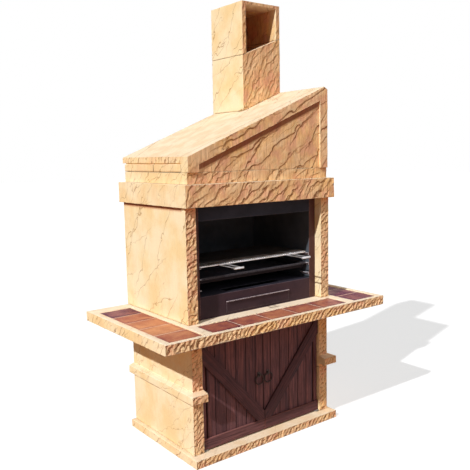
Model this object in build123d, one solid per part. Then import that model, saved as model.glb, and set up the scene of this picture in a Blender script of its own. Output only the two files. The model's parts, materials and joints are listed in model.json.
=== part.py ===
from build123d import *
import os

# Outdoor masonry barbecue of cast stone blocks: a base with two plank doors, a
# tiled worktop, a firebox with a steel liner, a one-sided hood and a chimney.
# Millimetres, X to the right, Y to the back, Z up. The origin is on the ground,
# under the centre of the whole outline.

os.makedirs("parts", exist_ok=True)

# Depths along Y
wall_depth = 664
worktop_front_reach = 210
top_back_reach = 26

# Base slab, beyond the base walls
slab_thick = 45
slab_side_reach = 24
slab_front_reach = 57
slab_back_reach = 10

# Base walls: a lower and an upper block on each side and at the back
base_width = 1006
base_wall_thick = 67
base_back_thick = 60
base_back_setback = 19
base_lower_height = 285
base_upper_height = 380

# Ledge moulded on the upper side blocks
ledge_side_reach = 33
ledge_front_reach = 48
ledge_rise = 20
ledge_edge_height = 43
ledge_slope_height = 10

# Worktop and its tiles
worktop_thick = 55
worktop_front_border = 33
worktop_side_border = 42
worktop_divider = 68
tile_width = 190
tile_length = 145
tile_thick = 12
tile_sink = 2
tile_gap = 5
tile_margin = 2
tile_count = 5

# Firebox walls
firebox_width = 1036
firebox_wall_thick = 65
firebox_back_thick = 60
firebox_height = 615

# Lintel ring
lintel_side_reach = 16
lintel_front_reach = 32
lintel_height = 118

# Hood: a low course, the front gable, the walls and the sloping roof slab
hood_width = 1002
hood_front_thick = 55
hood_wall_thick = 50
course_height = 60
eaves_height = 82
roof_rise_share = 0.4032
roof_thick = 34
ridge_inset = 27
ridge_chamfer_drop = 15
rim_proud = 10
rim_foot_width = 71
rim_slope_thick = 70
rim_right_width = 61
groove_height = 6
groove_depth = 8
left_wall_joint_reach = 281

# Chimney: a block on the roof slab and a cap open to the front
chimney_right_inset = 37
chimney_width = 298
chimney_depth = 320
chimney_wall_thick = 29
chimney_block_height = 334
chimney_cap_height = 317
chimney_top_thick = 20

# Doors: upright boards, rails, a diagonal brace and pivot pins
door_recess = 22
door_edge_gap = 2.5
door_split_gap = 3
door_bottom_gap = 8
door_top_gap = 10
board_thick = 20
board_count = 6
board_gap = 1
edge_board_share = 0.78
stile_width = 26.5
stile_gap = 10
rail_height = 60
rail_thick = 11
brace_width = 72
brace_foot_rise = 51
brace_head_inset = 13.5
pivot_inset = 7.5
pivot_pin_diameter = 8
pivot_pin_reach = 15
pivot_plate_thick = 4
pivot_plate_width = 26
pivot_plate_front_reach = 5
pivot_fit = 0.05

# Ring pulls on the doors
ring_outer_diameter = 64
ring_wire_diameter = 7
ring_inset = 31.5
ring_pivot_rise = 341.5
ring_plate_width = 22
ring_plate_height = 30
ring_plate_thick = 3
ring_stand_off = 5
ring_eye_diameter = 15
ring_eye_width = 8
ring_eye_clearance = 0.8

# Steel liner of the firebox
steel_thick = 3
liner_recess = 53
liner_side_gap = 1
liner_back_gap = 11
liner_top_gap = 2
flange_width = 47
shield_height = 79
liner_floor_height = 125
ash_slot_width = 400
ash_slot_depth = 60
ash_slot_inset = 40

# Brackets on the liner sides that carry the tray and the grill
bracket_first_height = 160
bracket_pitch = 60
bracket_count = 3
bracket_length = 62
bracket_width = 17
bracket_leg = 15
bracket_front_inset = 5
bracket_spacing = 325

# Ember tray
tray_sheet = 2.5
tray_front_inset = 17
tray_depth = 377
tray_body_height = 35
tray_front_slant = 24
tray_side_gap = 4
tray_lip_gap = 5
tray_bar_height = 12
tray_bar_thick = 6

# Ash drawer, its front and its runners
drawer_sheet = 2
drawer_width = 440
drawer_body_height = 55
drawer_depth = 330
drawer_rise = 18
drawer_hole_clearance = 1.5
drawer_front_width = 464
drawer_front_height = 65
drawer_front_drop = 5
drawer_front_thick = 2.5
drawer_front_lip = 9
runner_width = 18
runner_thick = 2
running_gap = 0.3

# Cooking grill with its two handles
grill_rod_diameter = 8
grill_side_gap = 8
grill_front_inset = 14
grill_depth = 380
grill_corner_radius = 16
grill_cross_count = 2
grill_wire_diameter = 4
grill_wire_pitch = 16
grill_wire_count = 49
weld_gap = 0.2
handle_offset = 245
handle_wire_spacing = 43
handle_wire_diameter = 6
handle_length = 157
handle_bar_diameter = 12
handle_bar_length = 62

# One overrun for every cut
overrun = 10

# Places along Y
front_y = worktop_front_reach - (worktop_front_reach + wall_depth + top_back_reach) / 2
back_y = front_y + wall_depth
rear_y = back_y + top_back_reach
worktop_front_y = front_y - worktop_front_reach
base_back_y = back_y - base_back_setback

# Places along Z, from the ground up
slab_top_z = slab_thick
base_joint_z = slab_top_z + base_lower_height
base_top_z = base_joint_z + base_upper_height
worktop_top_z = base_top_z + worktop_thick
firebox_top_z = worktop_top_z + firebox_height
lintel_top_z = firebox_top_z + lintel_height
course_top_z = lintel_top_z + course_height
eaves_z = course_top_z + eaves_height

# Faces along X, on the right of the middle
base_outer_x = base_width / 2
base_inner_x = base_outer_x - base_wall_thick
firebox_outer_x = firebox_width / 2
firebox_inner_x = firebox_outer_x - firebox_wall_thick
hood_outer_x = hood_width / 2
hood_inner_x = hood_outer_x - hood_wall_thick
hood_front_back_y = front_y + hood_front_thick
hood_back_front_y = back_y - hood_wall_thick


def block(x_low, x_high, y_low, y_high, z_low, z_high):
    """Box between two opposite corners."""
    middle = Pos((x_low + x_high) / 2, (y_low + y_high) / 2, (z_low + z_high) / 2)
    return middle * Box(x_high - x_low, y_high - y_low, z_high - z_low)


def along_y(points, y_low, y_high):
    """Outline in X and Z, carried along Y."""
    outline = Wire.make_polygon([Vector(x, y_low, z) for x, z in points])
    return extrude(Face(outline), amount=y_high - y_low, dir=Axis.Y.direction)


def along_x(points, x_low, x_high):
    """Outline in Y and Z, carried along X."""
    outline = Wire.make_polygon([Vector(x_low, y, z) for y, z in points])
    return extrude(Face(outline), amount=x_high - x_low, dir=Axis.X.direction)


def rod(start, end, diameter):
    """Round rod between two points."""
    run = Vector(*end) - Vector(*start)
    return Solid.make_cylinder(diameter / 2, run.length, Plane(origin=start, z_dir=run))


def save(name, *solids):
    """Write one named piece, or one group of like pieces."""
    shape = solids[0] if len(solids) == 1 else Compound(children=list(solids))
    export_step(shape, f"parts/{name}.step")


def save_pair(name, *solids):
    """Write the right-hand piece as built and the left-hand one as its mirror image."""
    save(name.format("right"), *solids)
    save(name.format("left"), *[mirror(solid, about=Plane.YZ) for solid in solids])


# Pivot pins of the doors, which the slab and the worktop take in
door_front_y = front_y + door_recess
door_outer_x = base_inner_x - door_edge_gap
door_inner_x = door_split_gap / 2
door_bottom_z = slab_top_z + door_bottom_gap
door_top_z = base_top_z - door_top_gap
rail_front_y = door_front_y - rail_thick
pivot_x = door_outer_x - pivot_inset
pivot_y = rail_front_y


def pivot_holes(z_low, z_high):
    """Bores for the pins of both doors, between two heights."""
    bore_diameter = pivot_pin_diameter + 2 * pivot_fit
    return [rod((x, pivot_y, z_low), (x, pivot_y, z_high), bore_diameter) for x in (-pivot_x, pivot_x)]


def base_slab():
    """Flat cast slab on the ground, with a bore for each lower door pin."""
    reach_x = base_outer_x + slab_side_reach
    slab_front_y = front_y - slab_front_reach
    slab_back_y = base_back_y + slab_back_reach
    slab = block(-reach_x, reach_x, slab_front_y, slab_back_y, 0, slab_top_z)
    bore_bottom = slab_top_z - pivot_pin_reach - running_gap
    return slab - pivot_holes(bore_bottom, slab_top_z + overrun)


def base_side_lower():
    """Lower block of the right base wall."""
    return block(base_inner_x, base_outer_x, front_y, base_back_y, slab_top_z, base_joint_z)


def base_side_upper():
    """Upper block of the right base wall, with the ledge round its side and front."""
    wall = block(base_inner_x, base_outer_x, front_y, base_back_y, base_joint_z, base_top_z)
    ledge_z = base_joint_z + ledge_rise
    edge_z = ledge_z + ledge_edge_height
    ledge_top_z = edge_z + ledge_slope_height
    ledge_x = base_outer_x + ledge_side_reach
    ledge_y = front_y - ledge_front_reach
    side_outline = [(base_inner_x, ledge_z), (ledge_x, ledge_z), (ledge_x, edge_z),
                    (base_outer_x, ledge_top_z), (base_inner_x, ledge_top_z)]
    front_outline = [(ledge_y, ledge_z), (base_back_y, ledge_z), (base_back_y, ledge_top_z),
                     (front_y, ledge_top_z), (ledge_y, edge_z)]
    side_ledge = along_y(side_outline, ledge_y, base_back_y)
    front_ledge = along_x(front_outline, base_inner_x, ledge_x)
    return wall + (side_ledge & front_ledge)


def base_back(z_low, z_high):
    """Back block between the base side walls."""
    return block(-base_inner_x, base_inner_x, base_back_y - base_back_thick, base_back_y, z_low, z_high)


save("base_slab", base_slab())
save_pair("base_wall_{}_lower", base_side_lower())
save_pair("base_wall_{}_upper", base_side_upper())
save("base_wall_back_lower", base_back(slab_top_z, base_joint_z))
save("base_wall_back_upper", base_back(base_joint_z, base_top_z))

# Worktop with a shallow pocket for each run of tiles
tile_top_z = worktop_top_z - tile_sink
tile_bottom_z = tile_top_z - tile_thick
tile_front_y = worktop_front_y + worktop_front_border
front_row_half = (tile_count * tile_width + (tile_count - 1) * tile_gap) / 2
side_tile_inner_x = front_row_half + worktop_divider
side_tile_outer_x = side_tile_inner_x + tile_width
worktop_outer_x = side_tile_outer_x + worktop_side_border
side_run_length = tile_count * tile_length + (tile_count - 1) * tile_gap


def pocket(x_low, x_high, y_length):
    """Pocket for a run of tiles that starts at the front border."""
    return block(x_low - tile_margin, x_high + tile_margin, tile_front_y - tile_margin,
                 tile_front_y + y_length + tile_margin, tile_bottom_z, worktop_top_z + overrun)


def tile(x_low, y_low):
    """One clay tile."""
    return block(x_low, x_low + tile_width, y_low, y_low + tile_length, tile_bottom_z, tile_top_z)


def worktop():
    """Worktop slab, with the tile pockets and a bore for each upper door pin."""
    slab = block(-worktop_outer_x, worktop_outer_x, worktop_front_y, back_y, base_top_z, worktop_top_z)
    slab -= pocket(-front_row_half, front_row_half, tile_length)
    slab -= pocket(side_tile_inner_x, side_tile_outer_x, side_run_length)
    slab -= pocket(-side_tile_outer_x, -side_tile_inner_x, side_run_length)
    bore_top = base_top_z + pivot_pin_reach + running_gap
    return slab - pivot_holes(base_top_z - overrun, bore_top)


def front_tiles():
    """Row of tiles along the front of the firebox."""
    pitch = tile_width + tile_gap
    return [tile(-front_row_half + index * pitch, tile_front_y) for index in range(tile_count)]


def side_tiles():
    """Column of tiles beside the firebox, on the right."""
    pitch = tile_length + tile_gap
    return [tile(side_tile_inner_x, tile_front_y + index * pitch) for index in range(tile_count)]


save("worktop", worktop())
save("worktop_tiles_front", *front_tiles())
save_pair("worktop_tiles_{}", *side_tiles())

# Firebox walls
firebox_back_front_y = back_y - firebox_back_thick


def firebox_side():
    """Right wall of the firebox."""
    return block(firebox_inner_x, firebox_outer_x, front_y, back_y, worktop_top_z, firebox_top_z)


def firebox_back():
    """Back wall of the firebox, between the side walls."""
    return block(-firebox_inner_x, firebox_inner_x, firebox_back_front_y, back_y,
                 worktop_top_z, firebox_top_z)


def lintel_ring():
    """Ring over the firebox walls that stands out at the front and sides."""
    outer_x = firebox_outer_x + lintel_side_reach
    ring = block(-outer_x, outer_x, front_y - lintel_front_reach, rear_y, firebox_top_z, lintel_top_z)
    return ring - block(-firebox_inner_x, firebox_inner_x, hood_front_back_y, firebox_back_front_y,
                        firebox_top_z - overrun, lintel_top_z + overrun)


save_pair("firebox_wall_{}", firebox_side())
save("firebox_wall_back", firebox_back())
save("lintel_ring", lintel_ring())

# Hood under the sloping roof
ridge_x = hood_outer_x - ridge_inset


def roof_top(x):
    """Height of the roof's upper face, which rises from the left to the right."""
    return eaves_z + roof_rise_share * (x + hood_outer_x)


def roof_under(x):
    """Height of the roof slab's lower face."""
    return roof_top(x) - roof_thick


ridge_edge_z = roof_top(ridge_x) - ridge_chamfer_drop


def hood_course():
    """Low ring that carries the hood."""
    ring = block(-hood_outer_x, hood_outer_x, front_y, back_y, lintel_top_z, course_top_z)
    return ring - block(-hood_inner_x, hood_inner_x, hood_front_back_y, hood_back_front_y,
                        lintel_top_z - overrun, course_top_z + overrun)


def hood_gable():
    """Front panel of the hood, with a raised rim on the left foot, the slope and the right edge."""
    outline = [(-hood_outer_x, course_top_z), (-hood_outer_x, eaves_z), (ridge_x, roof_top(ridge_x)),
               (hood_outer_x, ridge_edge_z), (hood_outer_x, course_top_z)]
    panel = along_y(outline, front_y - rim_proud, hood_front_back_y)
    field_left = -hood_outer_x + rim_foot_width
    field_right = hood_outer_x - rim_right_width
    field = [(field_left, course_top_z - overrun), (field_left, roof_top(field_left) - rim_slope_thick),
             (field_right, roof_top(field_right) - rim_slope_thick), (field_right, course_top_z - overrun)]
    return panel - along_y(field, front_y - rim_proud - overrun, front_y)


def hood_left_wall(y_low, y_high):
    """Length of the low left wall, with the groove under the roof's edge."""
    outline = [(-hood_outer_x, course_top_z), (-hood_inner_x, course_top_z),
               (-hood_inner_x, roof_under(-hood_inner_x)), (-hood_outer_x, roof_under(-hood_outer_x))]
    groove = block(-hood_outer_x - overrun, -hood_outer_x + groove_depth, y_low - overrun, y_high + overrun,
                   roof_under(-hood_outer_x) - groove_height, roof_under(-hood_outer_x) + overrun)
    return along_y(outline, y_low, y_high) - groove


def hood_right_wall():
    """High wall on the right."""
    outline = [(hood_inner_x, course_top_z), (hood_outer_x, course_top_z),
               (hood_outer_x, roof_under(hood_outer_x)), (hood_inner_x, roof_under(hood_inner_x))]
    return along_y(outline, hood_front_back_y, back_y)


def hood_back_wall():
    """Back wall between the two side walls."""
    outline = [(-hood_inner_x, course_top_z), (hood_inner_x, course_top_z),
               (hood_inner_x, roof_under(hood_inner_x)), (-hood_inner_x, roof_under(-hood_inner_x))]
    return along_y(outline, hood_back_front_y, back_y)


# Chimney places, which the roof slab's flue hole follows
chimney_right_x = hood_outer_x - chimney_right_inset
chimney_left_x = chimney_right_x - chimney_width
chimney_front_y = rear_y - chimney_depth
chimney_joint_z = roof_top(chimney_left_x) + chimney_block_height
chimney_top_z = chimney_joint_z + chimney_cap_height
flue_left_x = chimney_left_x + chimney_wall_thick
flue_right_x = chimney_right_x - chimney_wall_thick
flue_front_y = chimney_front_y + chimney_wall_thick
flue_back_y = rear_y - chimney_wall_thick


def chimney_joint(x):
    """Height of the slanted joint between the chimney block and its cap."""
    return chimney_joint_z + roof_rise_share * (x - chimney_left_x)


def roof_slab():
    """Sloping roof slab, with the flue hole under the chimney."""
    outline = [(-hood_outer_x, roof_under(-hood_outer_x)), (-hood_outer_x, eaves_z),
               (ridge_x, roof_top(ridge_x)), (hood_outer_x, ridge_edge_z),
               (hood_outer_x, roof_under(hood_outer_x))]
    slab = along_y(outline, hood_front_back_y, rear_y)
    return slab - block(flue_left_x, flue_right_x, flue_front_y, flue_back_y, course_top_z, chimney_top_z)


def chimney_block():
    """Hollow block on the roof slab."""
    outline = [(chimney_left_x, roof_top(chimney_left_x)), (chimney_right_x, roof_top(chimney_right_x)),
               (chimney_right_x, chimney_joint(chimney_right_x)), (chimney_left_x, chimney_joint_z)]
    solid = along_y(outline, chimney_front_y, rear_y)
    return solid - block(flue_left_x, flue_right_x, flue_front_y, flue_back_y, course_top_z, chimney_top_z)


def chimney_cap():
    """Cap with back, sides and top, open to the front."""
    outline = [(chimney_left_x, chimney_joint_z), (chimney_right_x, chimney_joint(chimney_right_x)),
               (chimney_right_x, chimney_top_z), (chimney_left_x, chimney_top_z)]
    solid = along_y(outline, chimney_front_y, rear_y)
    return solid - block(flue_left_x, flue_right_x, chimney_front_y - overrun, flue_back_y,
                         chimney_joint_z - overrun, chimney_top_z - chimney_top_thick)


left_wall_joint_y = hood_front_back_y + left_wall_joint_reach
save("hood_course", hood_course())
save("hood_gable_front", hood_gable())
save("hood_wall_left_front", hood_left_wall(hood_front_back_y, left_wall_joint_y))
save("hood_wall_left_rear", hood_left_wall(left_wall_joint_y, back_y))
save("hood_wall_right", hood_right_wall())
save("hood_wall_back", hood_back_wall())
save("roof_slab", roof_slab())
save("chimney_block", chimney_block())
save("chimney_cap", chimney_cap())

# Door leaves, built on the right
door_back_y = door_front_y + board_thick
rail_top_z = door_bottom_z + rail_height
head_rail_z = door_top_z - rail_height


def door_boards():
    """Upright boards of one leaf, the outer two narrower."""
    boards_width = door_outer_x - stile_width - stile_gap - door_inner_x - (board_count - 1) * board_gap
    inner_width = boards_width / (board_count - 2 + 2 * edge_board_share)
    boards = []
    x_low = door_inner_x
    for index in range(board_count):
        edge = index in (0, board_count - 1)
        width = inner_width * edge_board_share if edge else inner_width
        boards.append(block(x_low, x_low + width, door_front_y, door_back_y, door_bottom_z, door_top_z))
        x_low += width + board_gap
    return boards


def door_stile():
    """Narrow upright at the hinge side of the leaf."""
    return block(door_outer_x - stile_width, door_outer_x, door_front_y, door_back_y,
                 door_bottom_z, door_top_z)


def door_rails():
    """Bottom and top rails across the leaf."""
    return [block(door_inner_x, door_outer_x, rail_front_y, door_front_y, z, z + rail_height)
            for z in (door_bottom_z, head_rail_z)]


def door_brace():
    """Diagonal brace from the foot of the meeting edge to the head of the hinge side."""
    foot_z = rail_top_z + brace_foot_rise
    head_x = door_outer_x - brace_head_inset
    run = Vector(head_x - door_inner_x, 0, head_rail_z - foot_z)
    drop = brace_width * run.length / run.X
    rise_share = run.Z / run.X
    outer_z = foot_z + rise_share * (door_outer_x - door_inner_x) - drop
    toe_x = door_inner_x + (rail_top_z + drop - foot_z) / rise_share
    outline = [(door_inner_x, rail_top_z), (toe_x, rail_top_z), (door_outer_x, outer_z),
               (door_outer_x, head_rail_z), (head_x, head_rail_z), (door_inner_x, foot_z)]
    return along_y(outline, rail_front_y, door_front_y)


def door_pivot(plate_low, plate_high, pin_end):
    """Pivot plate on the leaf's end, with its pin."""
    plate = block(door_outer_x - pivot_plate_width, door_outer_x,
                  pivot_y - pivot_plate_front_reach, door_back_y, plate_low, plate_high)
    plate_middle = (plate_low + plate_high) / 2
    return plate + rod((pivot_x, pivot_y, plate_middle), (pivot_x, pivot_y, pin_end), pivot_pin_diameter)


def door_pivots():
    """Lower and upper pivots of one leaf."""
    lower = door_pivot(door_bottom_z - pivot_plate_thick, door_bottom_z, slab_top_z - pivot_pin_reach)
    upper = door_pivot(door_top_z, door_top_z + pivot_plate_thick, base_top_z + pivot_pin_reach)
    return [lower, upper]


# Ring pull, which hangs from an eye on a small plate
ring_x = door_inner_x + ring_inset
ring_pivot_z = slab_top_z + ring_pivot_rise
ring_radius = (ring_outer_diameter - ring_wire_diameter) / 2
ring_y = door_front_y - ring_plate_thick - ring_stand_off


def ring_plate():
    """Plate on the boards with the eye that the ring hangs in."""
    plate = block(ring_x - ring_plate_width / 2, ring_x + ring_plate_width / 2,
                  door_front_y - ring_plate_thick, door_front_y,
                  ring_pivot_z - ring_plate_height / 2, ring_pivot_z + ring_plate_height / 2)
    eye_low = ring_x - ring_eye_width / 2
    eye_high = ring_x + ring_eye_width / 2
    neck = block(eye_low, eye_high, ring_y, door_front_y - ring_plate_thick,
                 ring_pivot_z - ring_eye_diameter / 2, ring_pivot_z + ring_eye_diameter / 2)
    eye = rod((eye_low, ring_y, ring_pivot_z), (eye_high, ring_y, ring_pivot_z), ring_eye_diameter)
    hole = rod((eye_low - overrun, ring_y, ring_pivot_z), (eye_high + overrun, ring_y, ring_pivot_z),
               ring_wire_diameter + 2 * ring_eye_clearance)
    return plate + (neck + eye - hole)


def ring_pull():
    """Round ring of bent wire."""
    upright = Plane(origin=(ring_x, ring_y, ring_pivot_z - ring_radius), z_dir=Axis.Y.direction)
    return Solid.make_torus(ring_radius, ring_wire_diameter / 2, upright)


save_pair("door_{}_planks", *door_boards())
save_pair("door_{}_stile", door_stile())
save_pair("door_{}_rails", *door_rails())
save_pair("door_{}_brace", door_brace())
save_pair("door_{}_pivots", *door_pivots())
save_pair("door_{}_ring_plate", ring_plate())
save_pair("door_{}_ring", ring_pull())

# Steel liner: back, sides, floor, front flanges, smoke shield and lower panel
liner_front_y = front_y + liner_recess
liner_sheet_y = liner_front_y + steel_thick
liner_back_y = firebox_back_front_y - liner_back_gap
liner_inside_back_y = liner_back_y - steel_thick
flange_outer_x = firebox_inner_x - liner_side_gap
liner_inner_x = flange_outer_x - flange_width
liner_outer_x = liner_inner_x + steel_thick
liner_top_z = firebox_top_z - liner_top_gap
floor_top_z = worktop_top_z + liner_floor_height
floor_under_z = floor_top_z - steel_thick
drawer_bottom_z = worktop_top_z + drawer_rise
drawer_top_z = drawer_bottom_z + drawer_body_height
drawer_outer_x = drawer_width / 2


def liner_floor():
    """Hearth floor, with a slot that lets the ash fall into the drawer."""
    floor = block(-liner_inner_x, liner_inner_x, liner_sheet_y, liner_inside_back_y,
                  floor_under_z, floor_top_z)
    slot_front_y = liner_sheet_y + ash_slot_inset
    return floor - block(-ash_slot_width / 2, ash_slot_width / 2,
                         slot_front_y, slot_front_y + ash_slot_depth,
                         floor_under_z - overrun, floor_top_z + overrun)


def liner_lower_panel():
    """Front panel under the hearth floor, with the hole for the ash drawer."""
    panel = block(-liner_inner_x, liner_inner_x, liner_front_y, liner_sheet_y, worktop_top_z, floor_top_z)
    hole_x = drawer_outer_x + drawer_hole_clearance
    return panel - block(-hole_x, hole_x, liner_front_y - overrun, liner_sheet_y + overrun,
                         drawer_bottom_z - drawer_hole_clearance, drawer_top_z + drawer_hole_clearance)


def brackets():
    """Angle brackets on the right side of the liner, front and rear, at each height."""
    solids = []
    for level in range(bracket_count):
        shelf_z = worktop_top_z + bracket_first_height + level * bracket_pitch
        outline = [(liner_inner_x - bracket_width, shelf_z), (liner_inner_x, shelf_z),
                   (liner_inner_x, shelf_z - bracket_leg),
                   (liner_inner_x - steel_thick, shelf_z - bracket_leg),
                   (liner_inner_x - steel_thick, shelf_z - steel_thick),
                   (liner_inner_x - bracket_width, shelf_z - steel_thick)]
        for step in range(2):
            y_low = liner_front_y + bracket_front_inset + step * bracket_spacing
            solids.append(along_y(outline, y_low, y_low + bracket_length))
    return solids


save("liner_back", block(-liner_outer_x, liner_outer_x, liner_inside_back_y, liner_back_y,
                         worktop_top_z, liner_top_z))
save_pair("liner_side_{}", block(liner_inner_x, liner_outer_x, liner_sheet_y, liner_inside_back_y,
                                 worktop_top_z, liner_top_z))
save_pair("liner_flange_{}", block(liner_inner_x, flange_outer_x, liner_front_y, liner_sheet_y,
                                   worktop_top_z, liner_top_z))
save("liner_shield", block(-liner_inner_x, liner_inner_x, liner_front_y, liner_sheet_y,
                           liner_top_z - shield_height, liner_top_z))
save("liner_floor", liner_floor())
save("liner_lower_panel", liner_lower_panel())
save_pair("grill_brackets_{}", *brackets())

# Ember tray on the middle brackets
tray_seat_z = worktop_top_z + bracket_first_height + bracket_pitch
tray_top_z = tray_seat_z + tray_sheet
tray_front_y = liner_front_y + tray_front_inset
tray_back_y = tray_front_y + tray_depth
tray_body_x = liner_inner_x - bracket_width - tray_side_gap
tray_lip_x = liner_inner_x - tray_lip_gap


def ember_tray():
    """Folded steel pan with a sloping front, a lip on each side and a bar along the front."""
    bottom_z = tray_top_z - tray_body_height
    wall_front_y = tray_front_y + tray_bar_thick
    outer = [(wall_front_y + tray_front_slant, bottom_z), (tray_back_y, bottom_z),
             (tray_back_y, tray_top_z), (wall_front_y, tray_top_z)]
    inner = [(wall_front_y + tray_front_slant + tray_sheet, bottom_z + tray_sheet),
             (tray_back_y - tray_sheet, bottom_z + tray_sheet), (tray_back_y - tray_sheet, tray_top_z),
             (wall_front_y + tray_sheet, tray_top_z)]
    pan = along_x(outer, -tray_body_x, tray_body_x)
    pan -= along_x(inner, -tray_body_x + tray_sheet, tray_body_x - tray_sheet)
    for x_low, x_high in ((-tray_lip_x, -tray_body_x + tray_sheet), (tray_body_x - tray_sheet, tray_lip_x)):
        pan += block(x_low, x_high, wall_front_y, tray_back_y, tray_seat_z, tray_top_z)
    return pan + block(-tray_body_x, tray_body_x, tray_front_y, wall_front_y + tray_sheet,
                       tray_top_z - tray_bar_height, tray_top_z)


save("ember_tray", ember_tray())

# Ash drawer behind the lower panel
drawer_front_y = liner_front_y - running_gap
drawer_back_y = drawer_front_y + drawer_depth


def ash_drawer():
    """Open steel box."""
    box = block(-drawer_outer_x, drawer_outer_x, drawer_front_y, drawer_back_y,
                drawer_bottom_z, drawer_top_z)
    return box - block(-drawer_outer_x + drawer_sheet, drawer_outer_x - drawer_sheet,
                       drawer_front_y + drawer_sheet, drawer_back_y - drawer_sheet,
                       drawer_bottom_z + drawer_sheet, drawer_top_z + overrun)


def ash_drawer_front():
    """Face of the drawer, its upper edge folded forward as a grip."""
    face_z = drawer_bottom_z - drawer_front_drop
    top_z = face_z + drawer_front_height
    half_width = drawer_front_width / 2
    face_y = drawer_front_y - drawer_front_thick
    lip_y = face_y - drawer_front_lip
    lip_z = top_z - drawer_front_thick
    outline = [(drawer_front_y, face_z), (drawer_front_y, top_z), (lip_y, top_z), (lip_y, lip_z),
               (face_y, lip_z), (face_y, face_z)]
    return along_x(outline, -half_width, half_width)


def runners():
    """Angle runners on the worktop that carry the drawer."""
    runner_top_z = drawer_bottom_z - running_gap
    outline = [(drawer_outer_x, runner_top_z), (drawer_outer_x - runner_width, runner_top_z),
               (drawer_outer_x - runner_width, runner_top_z - runner_thick),
               (drawer_outer_x - runner_thick, runner_top_z - runner_thick),
               (drawer_outer_x - runner_thick, worktop_top_z), (drawer_outer_x, worktop_top_z)]
    right = along_y(outline, liner_sheet_y, drawer_back_y)
    return [right, mirror(right, about=Plane.YZ)]


save("ash_drawer", ash_drawer())
save("ash_drawer_front", ash_drawer_front())
save("ash_drawer_runners", *runners())

# Cooking grill on the upper brackets
grill_seat_z = worktop_top_z + bracket_first_height + (bracket_count - 1) * bracket_pitch
grill_rod_radius = grill_rod_diameter / 2
grill_rod_z = grill_seat_z + running_gap + grill_rod_radius
grill_side_x = liner_inner_x - grill_side_gap - grill_rod_radius
grill_front_y = liner_front_y + grill_front_inset
grill_front_rod_y = grill_front_y + grill_rod_radius
grill_back_rod_y = grill_front_y + grill_depth - grill_rod_radius


def grill_frame():
    """Bent rod frame with cross rods."""
    middle = (0, (grill_front_rod_y + grill_back_rod_y) / 2, grill_rod_z)
    path = Plane(origin=middle) * RectangleRounded(2 * grill_side_x, grill_back_rod_y - grill_front_rod_y,
                                                   grill_corner_radius).wire()
    start = Plane(origin=path @ 0, z_dir=path % 0)
    frame = sweep(start * Circle(grill_rod_radius), path=path)
    step = (grill_back_rod_y - grill_front_rod_y) / (grill_cross_count + 1)
    for index in range(grill_cross_count):
        y = grill_front_rod_y + (index + 1) * step
        frame += rod((-grill_side_x, y, grill_rod_z), (grill_side_x, y, grill_rod_z), grill_rod_diameter)
    return frame


def grill_wires():
    """Wires from front to back, welded on top of the frame."""
    wire_z = grill_rod_z + grill_rod_radius + weld_gap + grill_wire_diameter / 2
    back_end_y = grill_front_y + grill_depth
    first_x = -(grill_wire_count - 1) * grill_wire_pitch / 2
    places = [first_x + index * grill_wire_pitch for index in range(grill_wire_count)]
    return [rod((x, grill_front_y, wire_z), (x, back_end_y, wire_z), grill_wire_diameter) for x in places]


def grill_handle():
    """Right handle: two wires that carry a thick round bar."""
    bar_y = grill_front_y - handle_length + handle_bar_diameter / 2
    bar_half = handle_bar_length / 2
    handle = rod((handle_offset - bar_half, bar_y, grill_rod_z),
                 (handle_offset + bar_half, bar_y, grill_rod_z), handle_bar_diameter)
    for x in (handle_offset - handle_wire_spacing / 2, handle_offset + handle_wire_spacing / 2):
        leg_end = (x, grill_front_y - weld_gap, grill_rod_z)
        handle += rod((x, bar_y, grill_rod_z), leg_end, handle_wire_diameter)
    return handle


save("grill_frame", grill_frame())
save("grill_wires", *grill_wires())
save_pair("grill_handle_{}", grill_handle())
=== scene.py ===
import json
import math

import bmesh
import bpy
import numpy as np
from mathutils import Matrix, Vector, noise
from mathutils.bvhtree import BVHTree


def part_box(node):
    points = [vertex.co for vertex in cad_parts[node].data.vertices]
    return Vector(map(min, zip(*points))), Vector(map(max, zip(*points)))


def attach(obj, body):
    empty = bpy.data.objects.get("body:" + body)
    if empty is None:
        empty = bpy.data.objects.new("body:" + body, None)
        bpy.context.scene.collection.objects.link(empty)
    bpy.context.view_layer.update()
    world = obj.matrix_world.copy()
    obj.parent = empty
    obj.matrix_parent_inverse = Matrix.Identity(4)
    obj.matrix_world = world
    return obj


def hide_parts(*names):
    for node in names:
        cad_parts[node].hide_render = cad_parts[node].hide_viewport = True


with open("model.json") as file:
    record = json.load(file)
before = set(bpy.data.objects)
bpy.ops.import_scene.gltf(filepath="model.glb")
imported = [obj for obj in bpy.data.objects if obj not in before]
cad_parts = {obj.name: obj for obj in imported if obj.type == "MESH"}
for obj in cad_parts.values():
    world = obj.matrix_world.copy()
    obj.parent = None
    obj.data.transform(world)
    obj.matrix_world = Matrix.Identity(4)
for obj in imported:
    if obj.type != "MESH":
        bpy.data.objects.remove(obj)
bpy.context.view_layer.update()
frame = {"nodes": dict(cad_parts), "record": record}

nodes = frame["nodes"]


# Base slab. The whole barbecue stands on one slab of cast reconstituted stone, struck
# from a mould with rough split edges. This section also holds what every cast block
# shares: its gridded mesh with split faces, painted shade in their clefts and a painted
# highlight on the lips of their steps, its worn arrises, paled partly as painted highlight,
# and the stone itself.
def srgb(red, green, blue):
    """A colour as seen on screen, 0 to 255, as the linear colour that a shader takes."""
    shares = [value / 255 for value in (red, green, blue)]
    linear = [s / 12.92 if s <= 0.04045 else ((s + 0.055) / 1.055) ** 2.4 for s in shares]
    return (*linear, 1)


def add_node(tree, kind, inputs=None, **settings):
    """One shader node. Each input is a plain value or another node's output."""
    made = tree.nodes.new(kind)
    for key, value in settings.items():
        setattr(made, key, value)
    for socket, value in (inputs or {}).items():
        if isinstance(value, bpy.types.NodeSocket):
            tree.links.new(value, made.inputs[socket])
        else:
            made.inputs[socket].default_value = value
    return made


def work_out(tree, operation, first, second=0.0):
    """Result of one sum on two masks."""
    return add_node(tree, "ShaderNodeMath", {0: first, 1: second}, operation=operation).outputs[0]


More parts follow.
